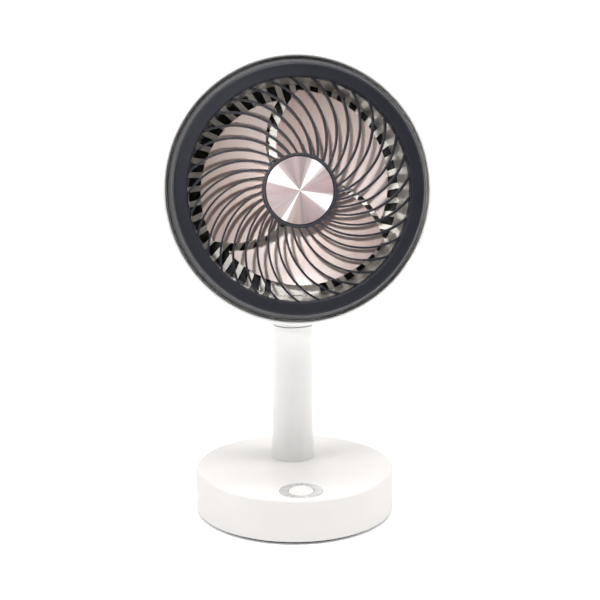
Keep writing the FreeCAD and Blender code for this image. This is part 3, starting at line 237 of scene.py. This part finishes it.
def spun(name, colour, origin, angle, line_pitch=0.00022, ring=False):
    """Spun metal: fine turning lines, fine streaks that are grain and painted glints, and, unless it is a ring,
    light and dark rays from the middle that are painted reflections.
    """
    made = Shader(name, colour, 0.22, 0.8)
    x, y, _ = turn_coordinates(made, origin, angle)
    radius = radius_of(made, x, y)
    turn = made.span(made.math("ARCTAN2", y, x), 0, 1, -math.pi, math.pi)
    # The stops paint the spun surface's reflections: painted highlights, dark sectors and rose and gold tints
    # around the middle.
    painted_highlight, middle, dark = (0.7, 0.69, 0.69), colour, tuple(c * 0.6 for c in colour)
    rose = (colour[0] * 0.96, colour[1] * 0.86, colour[2] * 0.87)
    gold = (colour[0] * 0.93, colour[1] * 0.88, colour[2] * 0.68)
    stops = [(0.0, rose), (0.10, middle), (0.150, middle), (0.168, painted_highlight), (0.186, middle), (0.215, gold),
             (0.235, rose), (0.27, dark), (0.33, rose), (0.385, middle), (0.415, painted_highlight), (0.455, painted_highlight),
             (0.485, middle), (0.50, rose), (0.56, rose), (0.61, middle), (0.655, painted_highlight), (0.675, painted_highlight),
             (0.695, middle), (0.735, dark), (0.77, rose), (0.815, dark), (0.86, middle), (0.895, painted_highlight),
             (0.935, painted_highlight), (0.962, middle), (1.0, rose)]
    rays = made.ramp(turn, stops)
    around = made.node("ShaderNodeCombineXYZ")
    made.link(made.math("MULTIPLY", turn, 130.0), around.inputs["X"])
    made.link(made.math("MULTIPLY", radius, 30.0), around.inputs["Y"])
    streaks = made.noise(1.0, 5.0, 0.7, around.outputs["Vector"])
    # The streaks lift the colour towards white in fine rays: the metal's grain, with painted glints on it.
    tone = made.mix(made.span(streaks, 0, 1, 0.35, 0.7), tuple(c * 0.75 for c in colour), (1.0, 1.0, 1.0))
    if ring:
        made.colour(tone)
    else:
        made.colour(made.mix(0.4, rays, tone, "MULTIPLY"))
    lines = made.math("SINE", made.math("MULTIPLY", radius, 2 * math.pi / line_pitch))
    made.roughness(made.span(streaks, 0.34, 0.5, 0.3, 0.7))
    made.bump((lines, 0.10, 0.00002))
    return made


def smoke(name):
    """The blades' warm plastic, with soft streaks and painted shade that leaves it lighter towards the back."""
    made = Shader(name, (0.36, 0.285, 0.26), 0.3)
    made.set(Coat_Weight=0.35, Coat_Roughness=0.2, IOR=1.5)
    x, y, depth = turn_coordinates(made, HEAD_ORIGIN, HEAD_ANGLE)
    stretch = made.node("ShaderNodeCombineXYZ")
    made.link(made.math("MULTIPLY", x, 170.0), stretch.inputs["X"])
    made.link(made.math("MULTIPLY", y, 26.0), stretch.inputs["Y"])
    made.link(made.math("MULTIPLY", depth, 26.0), stretch.inputs["Z"])
    streaks = made.noise(1.0, 4.0, 0.6, stretch.outputs["Vector"])
    # Painted shade: the colour is darker towards the front of the blades and lighter towards the back.
    shade = made.span(depth, 1.0, 0.0, -0.046, -0.014)
    tone = made.ramp(shade, [(0.0, (0.36, 0.26, 0.235)), (0.35, (0.56, 0.44, 0.40)),
                             (0.7, (0.74, 0.63, 0.59)), (1.0, (0.80, 0.72, 0.68))])
    made.colour(made.mix(made.span(streaks, 0.0, 0.16, 0.3, 0.7), tone, (0.72, 0.6, 0.56)))
    made.roughness(made.span(streaks, 0.24, 0.4, 0.3, 0.7))
    made.bump((made.noise(1500.0, 2.0), 0.06, 0.00005))
    return made


def cover(name):
    """The black front: dull on its flat face, satin on the flared wall round it, with a greyer tone there that is
    a painted sheen.

    The flat face takes its true normal, so that it shades as flat.
    """
    made = Shader(name, (0.012, 0.013, 0.018), 0.36)
    made.set(IOR=1.45, Specular_IOR_Level=0.2)
    x, y, _ = turn_coordinates(made, HEAD_ORIGIN, HEAD_ANGLE)
    radius = radius_of(made, x, y)
    wall = made.span(radius, 0, 1, FACE_RADIUS - FACE_BLEND, FACE_RADIUS + FACE_BLEND)
    slow = made.noise(28.0, 4.0)
    face = made.mix(made.span(slow, 0, 1, 0.3, 0.7), (0.011, 0.012, 0.017), (0.014, 0.015, 0.02))
    # The greyer colour on the flared wall is a painted sheen.
    made.colour(made.mix(wall, face, (0.085, 0.086, 0.088)))
    made.roughness(made.span(made.math("ADD", wall, made.noise(140.0, 3.0)), 0.42, 0.2, 0.3, 1.6))
    surface = made.node("ShaderNodeNewGeometry")
    normal = made.node("ShaderNodeMix", data_type="VECTOR")
    for source, slot in ((wall, 0), (surface.outputs["True Normal"], 4), (surface.outputs["Normal"], 5)):
        made.link(source, normal.inputs[slot])
    grain = made.node("ShaderNodeBump", Strength=0.08, Distance=0.00006)
    made.link(made.noise(2200.0, 2.0), grain.inputs["Height"])
    made.link(normal.outputs[1], grain.inputs["Normal"])
    made.link(grain.outputs["Normal"], made.shader.inputs["Normal"])
    return made


def rubber(name):
    """Dull black rubber with a soft speckle."""
    made = Shader(name, (0.03, 0.03, 0.032), 0.8)
    speck = made.noise(1800.0, 3.0)
    made.colour(made.mix(speck, (0.018, 0.018, 0.02), (0.05, 0.05, 0.052)))
    made.roughness(made.span(speck, 0.7, 0.92, 0.3, 0.7))
    made.bump((speck, 0.3, 0.0001))
    return made


def board(name):
    """A green circuit board with traces of a slightly different green."""
    made = Shader(name, (0.02, 0.14, 0.06), 0.35)
    cells = made.node("ShaderNodeTexBrick", Scale=420.0)
    made.link(made.place(), cells.inputs["Vector"])
    cells.inputs["Color1"].default_value = (0.02, 0.15, 0.065, 1)
    cells.inputs["Color2"].default_value = (0.03, 0.2, 0.08, 1)
    cells.inputs["Mortar"].default_value = (0.015, 0.1, 0.045, 1)
    made.colour(cells.outputs["Color"])
    made.bump((cells.outputs["Fac"], 0.2, 0.00003))
    return made


def windings(name):
    """Enamelled wire: fine ridges on a copper tone."""
    made = Shader(name, (0.72, 0.30, 0.12), 0.32, 1.0)
    wires = made.node("ShaderNodeTexWave", Scale=900.0, Distortion=1.5)
    made.link(made.place(), wires.inputs["Vector"])
    made.colour(made.mix(wires.outputs["Fac"], (0.42, 0.15, 0.06), (0.85, 0.42, 0.2)))
    made.bump((wires.outputs["Fac"], 0.5, 0.0001))
    return made


def make_materials():
    """One finish for each slot of the record."""
    white = (0.78, 0.772, 0.757)
    warm_white = (0.665, 0.645, 0.63)
    made = {
        "white_shell": moulded("white_shell", white, 0.34, mottle=0.012, coat=0.12),
        "base_plastic": moulded("base_plastic", warm_white, 0.5, grain=2600.0, depth=0.3, mottle=0.015),
        "dark_plastic": moulded("dark_plastic", (0.03, 0.03, 0.033), 0.5, mottle=0.1),
        "black_cover": cover("black_cover"),
        "duct_white": moulded("duct_white", (0.92, 0.895, 0.85), 0.16, depth=0.03, mottle=0.02, coat=0.6,
                              wave=60.0),
        "slat_white": moulded("slat_white", (0.95, 0.92, 0.86), 0.42, mottle=0.02),
        "blade_smoke": smoke("blade_smoke"),
        "spun_metal": spun("spun_metal", (0.245, 0.205, 0.205), HEAD_ORIGIN, HEAD_ANGLE),
        "foot_rubber": rubber("foot_rubber"),
        "steel": metal("steel", (0.56, 0.56, 0.57), 0.35),
        "screw_steel": metal("screw_steel", (0.62, 0.62, 0.63), 0.28, (300.0, 300.0, 300.0)),
        "board": board("board"),
        "copper": windings("copper"),
        "cell_sleeve": moulded("cell_sleeve", (0.05, 0.16, 0.42), 0.3, mottle=0.08, coat=0.3),
        "inlet_metal": metal("inlet_metal", (0.5, 0.5, 0.51), 0.3),
        "bearing_steel": metal("bearing_steel", (0.7, 0.7, 0.71), 0.15),
        "magnet": moulded("magnet", (0.06, 0.06, 0.065), 0.6, mottle=0.15),
        "nylon": moulded("nylon", (0.74, 0.72, 0.66), 0.45, mottle=0.03),
        # The black cloth finish is painted shade behind the rear slats.
        "screen_black": weave("screen_black"),
    }
    made["ring_metal"] = spun("ring_metal", (0.62, 0.60, 0.59), RING_MIDDLE, 0.0, ring=True)
    return made


def dress(materials):
    """Give every CAD node the finish of its slot, and the button's ring its own spun finish."""
    for part in frame["record"]["subparts"]:
        mesh = NODES[part["node"]].data
        mesh.materials.clear()
        mesh.materials.append(materials[part["material_slot"]].material)
    ring = NODES["button_ring"].data
    ring.materials.clear()
    ring.materials.append(materials["ring_metal"].material)


# ---------------------------------------------------------------- added pieces
HEAD_TO_ROW = Matrix.Translation(HEAD_ORIGIN) @ Matrix.Rotation(HEAD_ANGLE, 4, "X")
HEAD_FRAME = HEAD_TO_ROW.inverted()
UPRIGHT = Matrix.Identity(4)
SIDEWAYS = Matrix.Rotation(math.pi / 2, 4, "X")


def local_points(node, frame_matrix):
    """A node's vertices in another frame."""
    return [frame_matrix @ vertex.co for vertex in NODES[node].data.vertices]


def low_and_high(points):
    """The corners of the box around points."""
    return (Vector(min(point[axis] for point in points) for axis in range(3)),
            Vector(max(point[axis] for point in points) for axis in range(3)))


def apart_in_plane(points, reach):
    """Sort points into groups whose first points are further apart than a reach, seen along Z."""
    groups = []
    for point in points:
        for group in groups:
            if (point.xy - group[0].xy).length < reach:
                group.append(point)
                break
        else:
            groups.append([point])
    return groups


def ring_of(bm, radius, height, count, centre):
    """A circle of new vertices."""
    made = []
    for index in range(count):
        turn = 2 * math.pi * index / count
        x, y = centre.x + radius * math.cos(turn), centre.y + radius * math.sin(turn)
        made.append(bm.verts.new((x, y, height)))
    return made


def skin(bm, first, second):
    """Quads between two rings of equal count."""
    for index, corner in enumerate(first):
        after = (index + 1) % len(first)
        bm.faces.new((corner, first[after], second[after], second[index]))


def add_screw(bm, centre, tip, seat, top, shank, head):
    """One pan-head screw along Z with a cross recess in its head; top may be above or below."""
    count, recess, taper = 40, 0.6, 0.7
    arm, half = head * 0.5, head * 0.11
    out = 1 if top > seat else -1
    rise = abs(top - seat)
    profile = [(shank * 0.55, tip), (shank, tip + out * shank * 0.8), (shank, seat), (head, seat),
               (head, seat + out * rise * 0.45), (head * 0.93, seat + out * rise * 0.8),
               (head * 0.78, seat + out * rise * 0.97)]
    rings = [ring_of(bm, radius, height, count, centre) for radius, height in profile]
    for first, second in zip(rings, rings[1:]):
        skin(bm, first, second)
    bm.faces.new(list(reversed(rings[0])))
    outline = [(arm, -half), (arm, half), (half, half), (half, arm), (-half, arm), (-half, half),
               (-arm, half), (-arm, -half), (-half, -half), (-half, -arm), (half, -arm), (half, -half)]
    flat, deep = top, top - out * rise * recess
    mouth = [bm.verts.new((centre.x + x, centre.y + y, flat)) for x, y in outline]
    floor = [bm.verts.new((centre.x + x * taper, centre.y + y * taper, deep)) for x, y in outline]
    skin(bm, mouth, floor)
    bm.faces.new(floor)
    edges = [bm.edges.get((corner, ring[(index + 1) % len(ring)]))
             for ring in (rings[-1], mouth) for index, corner in enumerate(ring)]
    bmesh.ops.triangle_fill(bm, edges=edges, use_beauty=True)


def detailed_screws(node, body, to_frame, reach=0.006):
    """Replace a node of plain screws by screws with domed heads and cross recesses."""
    bm = bmesh.new()
    for group in apart_in_plane(local_points(node, to_frame), reach):
        low, high = low_and_high(group)
        centre = (low + high) / 2
        head = (high.x - low.x) / 2
        wide = [point.z for point in group if (point.xy - centre.xy).length > head * 0.98]
        narrow = [(point.xy - centre.xy).length for point in group
                  if min(abs(point.z - z) for z in wide) > head * 0.8]
        upwards = max(wide) > high.z - head * 0.1
        seat, top, tip = (min(wide), high.z, low.z) if upwards else (max(wide), low.z, high.z)
        add_screw(bm, centre, tip, seat, top, max(narrow), head)
    bm.transform(to_frame.inverted())
    bmesh.ops.recalc_face_normals(bm, faces=bm.faces)
    mesh = bpy.data.meshes.new(node + "_crossed")
    bm.to_mesh(mesh)
    bm.free()
    for face in mesh.polygons:
        face.use_smooth = True
    mesh.set_sharp_from_angle(angle=math.radians(35))
    mesh.materials.append(MATERIALS["screw_steel"].material)
    piece = add_object(node + "_crossed", mesh)
    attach(piece, body)
    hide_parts(node)


def painted_shade_cloth():
    """A dark cloth stretched on the dust screen's frame, drawn in a little between its bars: a dark sheet that
    paints the shade seen between the rear slats.
    """
    bars, around, rings, sag, thickness = 45, 540, 36, 0.00016, 0.00022
    edge_inset, cap_gap, margin = 0.0004, 0.0016, 0.0002
    low, high = low_and_high(local_points("dust_screen", HEAD_FRAME))
    outer = high.x - edge_inset
    inner = low_and_high(local_points("rear_cap", HEAD_FRAME))[1].x + cap_gap
    plate_high = low_and_high(local_points("tilt_bracket", HEAD_FRAME))[1]
    bm = bmesh.new()
    grid = []
    notch_side, notch_top = plate_high.x + margin, plate_high.y + margin
    for step in range(rings + 1):
        share = step / rings
        radius = inner + (outer - inner) * share
        row = []
        for index in range(around):
            turn = 2 * math.pi * index / around
            dip = sag * abs(math.sin(bars * turn / 2)) * math.sin(math.pi * share)
            height = low.z + thickness + dip
            row.append(bm.verts.new((radius * math.cos(turn), radius * math.sin(turn), height)))
        grid.append(row)
    for inside, outside in zip(grid, grid[1:]):
        for index in range(around):
            after = (index + 1) % around
            bm.faces.new((inside[index], outside[index], outside[after], inside[after]))
    for point, away in (((notch_side, 0, 0), (1, 0, 0)), ((-notch_side, 0, 0), (1, 0, 0)),
                        ((0, notch_top, 0), (0, 1, 0))):
        everything = [*bm.verts, *bm.edges, *bm.faces]
        bmesh.ops.bisect_plane(bm, geom=everything, plane_co=point, plane_no=away, dist=1e-7)
    inside_notch = [face for face in bm.faces if abs(face.calc_center_median().x) < notch_side
                    and face.calc_center_median().y < notch_top]
    bmesh.ops.delete(bm, geom=inside_notch, context="FACES")
    bmesh.ops.delete(bm, geom=[vert for vert in bm.verts if not vert.link_faces], context="VERTS")
    area = sum(face.calc_area() for face in bm.faces)
    bm.transform(HEAD_TO_ROW)
    mesh = bpy.data.meshes.new("painted_shade_cloth")
    bm.to_mesh(mesh)
    bm.free()
    for face in mesh.polygons:
        face.use_smooth = True
    # The cloth's black is painted shade behind the rear slats.
    mesh.materials.append(MATERIALS["screen_black"].material)
    piece = add_object("painted_shade_cloth", mesh)
    solid = piece.modifiers.new("thickness", "SOLIDIFY")
    solid.thickness = thickness
    solid.offset = 0.0
    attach(piece, "head")


def pressed_spring():
    """The button's return spring as a piece of its own on the base, in place of its node."""
    node = NODES["button_spring"]
    piece = add_object("button_spring_coil", node.data.copy())
    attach(piece, "base")
    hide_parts("button_spring")
    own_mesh(piece)


def weave(name):
    """Fine black cloth, a painted shade behind the rear slats: crossed threads with a little lint."""
    made = Shader(name, (0.018, 0.02, 0.019), 0.75)
    made.set(Sheen_Weight=0.25, Sheen_Roughness=0.5)
    x, y, _ = turn_coordinates(made, HEAD_ORIGIN, HEAD_ANGLE)
    pitch = 0.0009
    warp = made.math("SINE", made.math("MULTIPLY", x, 2 * math.pi / pitch))
    weft = made.math("SINE", made.math("MULTIPLY", y, 2 * math.pi / pitch))
    threads = made.math("MULTIPLY", warp, weft)
    lint = made.noise(160.0, 4.0)
    tone = made.mix(made.span(threads, 0, 1, -1, 1), (0.008, 0.009, 0.009), (0.03, 0.033, 0.031))
    made.colour(made.mix(made.span(lint, 0, 0.35, 0.55, 0.8), tone, (0.07, 0.07, 0.065)))
    made.bump((threads, 0.6, 0.0002))
    return made


# ---------------------------------------------------------------- stage
def add_object(name, mesh):
    """Link a mesh as an object."""
    made = bpy.data.objects.new(name, mesh)
    bpy.context.scene.collection.objects.link(made)
    return made


def make_stage():
    """A pale floor that curves up into a backdrop."""
    half, front, back, rise, bend, steps = 3.0, -2.5, 1.6, 2.8, 0.7, 16
    profile = [(front, 0.0)]
    for index in range(steps + 1):
        turn = math.pi / 2 * index / steps
        profile.append((back - bend + bend * math.sin(turn), bend - bend * math.cos(turn)))
    profile.append((back, rise))
    mesh = bpy.data.meshes.new("sweep")
    verts = [(side * half, y, z) for y, z in profile for side in (-1, 1)]
    faces = [(2 * i, 2 * i + 1, 2 * i + 3, 2 * i + 2) for i in range(len(profile) - 1)]
    mesh.from_pydata(verts, [], faces)
    for face in mesh.polygons:
        face.use_smooth = True
    sweep = add_object("sweep", mesh)
    paper = Shader("paper", (0.93, 0.93, 0.93), 0.9)
    grain = paper.noise(90.0, 3.0)
    paper.colour(paper.mix(grain, (0.925, 0.925, 0.925), (0.945, 0.945, 0.945)))
    paper.set(Emission_Color=(1, 1, 1, 1), Emission_Strength=0.18)
    mesh.materials.append(paper.material)


def area_light(name, place, aim, size, power):
    """A soft square or oblong light that faces a point."""
    light = bpy.data.lights.new(name, "AREA")
    light.shape = "RECTANGLE"
    light.size, light.size_y = size
    light.energy = power
    lamp = bpy.data.objects.new(name, light)
    lamp.location = place
    lamp.rotation_euler = (Vector(aim) - Vector(place)).to_track_quat("-Z", "Y").to_euler()
    bpy.context.scene.collection.objects.link(lamp)


def head_fill(place, power):
    """A soft narrow lamp that lights the air duct through the front grille."""
    beam = 0.9
    light = bpy.data.lights.new("head_fill", "SPOT")
    light.energy = power
    light.shadow_soft_size = 0.05
    away = Vector(place) - HEAD_ORIGIN
    light.spot_size = 2 * beam * math.atan(GRILLE_RADIUS / away.length)
    light.spot_blend = 0.35
    lamp = bpy.data.objects.new("head_fill", light)
    lamp.location = place
    lamp.rotation_euler = away.to_track_quat("Z", "Y").to_euler()
    bpy.context.scene.collection.objects.link(lamp)


def make_lights():
    """Soft studio light: a broad one overhead, one each side, a weak one in front and the head's fill."""
    aim = (0, 0, 0.2)
    area_light("overhead", (0.0, -0.25, 1.6), aim, (1.6, 1.2), 35.0)
    area_light("left", (-1.4, -0.5, 1.2), aim, (0.8, 1.2), 13.0)
    area_light("right", (1.4, -0.4, 1.2), aim, (0.8, 1.2), 13.0)
    area_light("key", (-0.3, -1.3, 1.7), aim, (1.2, 0.7), 2.0)
    head_fill((-0.36, -1.5, 0.72), 140.0)
    world = bpy.data.worlds.new("room")
    world.use_nodes = True
    background = world.node_tree.nodes["Background"]
    background.inputs["Color"].default_value = (1, 1, 1, 1)
    background.inputs["Strength"].default_value = 0.08
    bpy.context.scene.world = world
    bpy.context.scene.view_settings.view_transform = "Standard"
    bpy.context.scene.view_settings.look = "None"


def make_camera():
    """The camera in front of the fan, turned and lowered by its own angles."""
    camera = bpy.data.cameras.new("camera")
    camera.lens = CAMERA_LENS
    camera.sensor_width = SENSOR
    seat = bpy.data.objects.new("camera", camera)
    height = BASE_TOP + CAMERA_ABOVE_BASE
    seat.location = (-CAMERA_AWAY * math.sin(CAMERA_SIDE), -CAMERA_AWAY * math.cos(CAMERA_SIDE), height)
    seat.rotation_euler = (math.pi / 2 - CAMERA_DOWN, 0, -CAMERA_SIDE - CAMERA_PAN)
    bpy.context.scene.collection.objects.link(seat)
    bpy.context.scene.camera = seat


make_camera()
make_stage()
make_lights()
MATERIALS = make_materials()
dress(MATERIALS)
for node, body, to_frame in (("bracket_screws", "head", HEAD_FRAME), ("head_screws", "head", HEAD_FRAME),
                             ("base_screws", "base", UPRIGHT), ("neck_screws", "neck", SIDEWAYS)):
    detailed_screws(node, body, to_frame)
painted_shade_cloth()
pressed_spring()
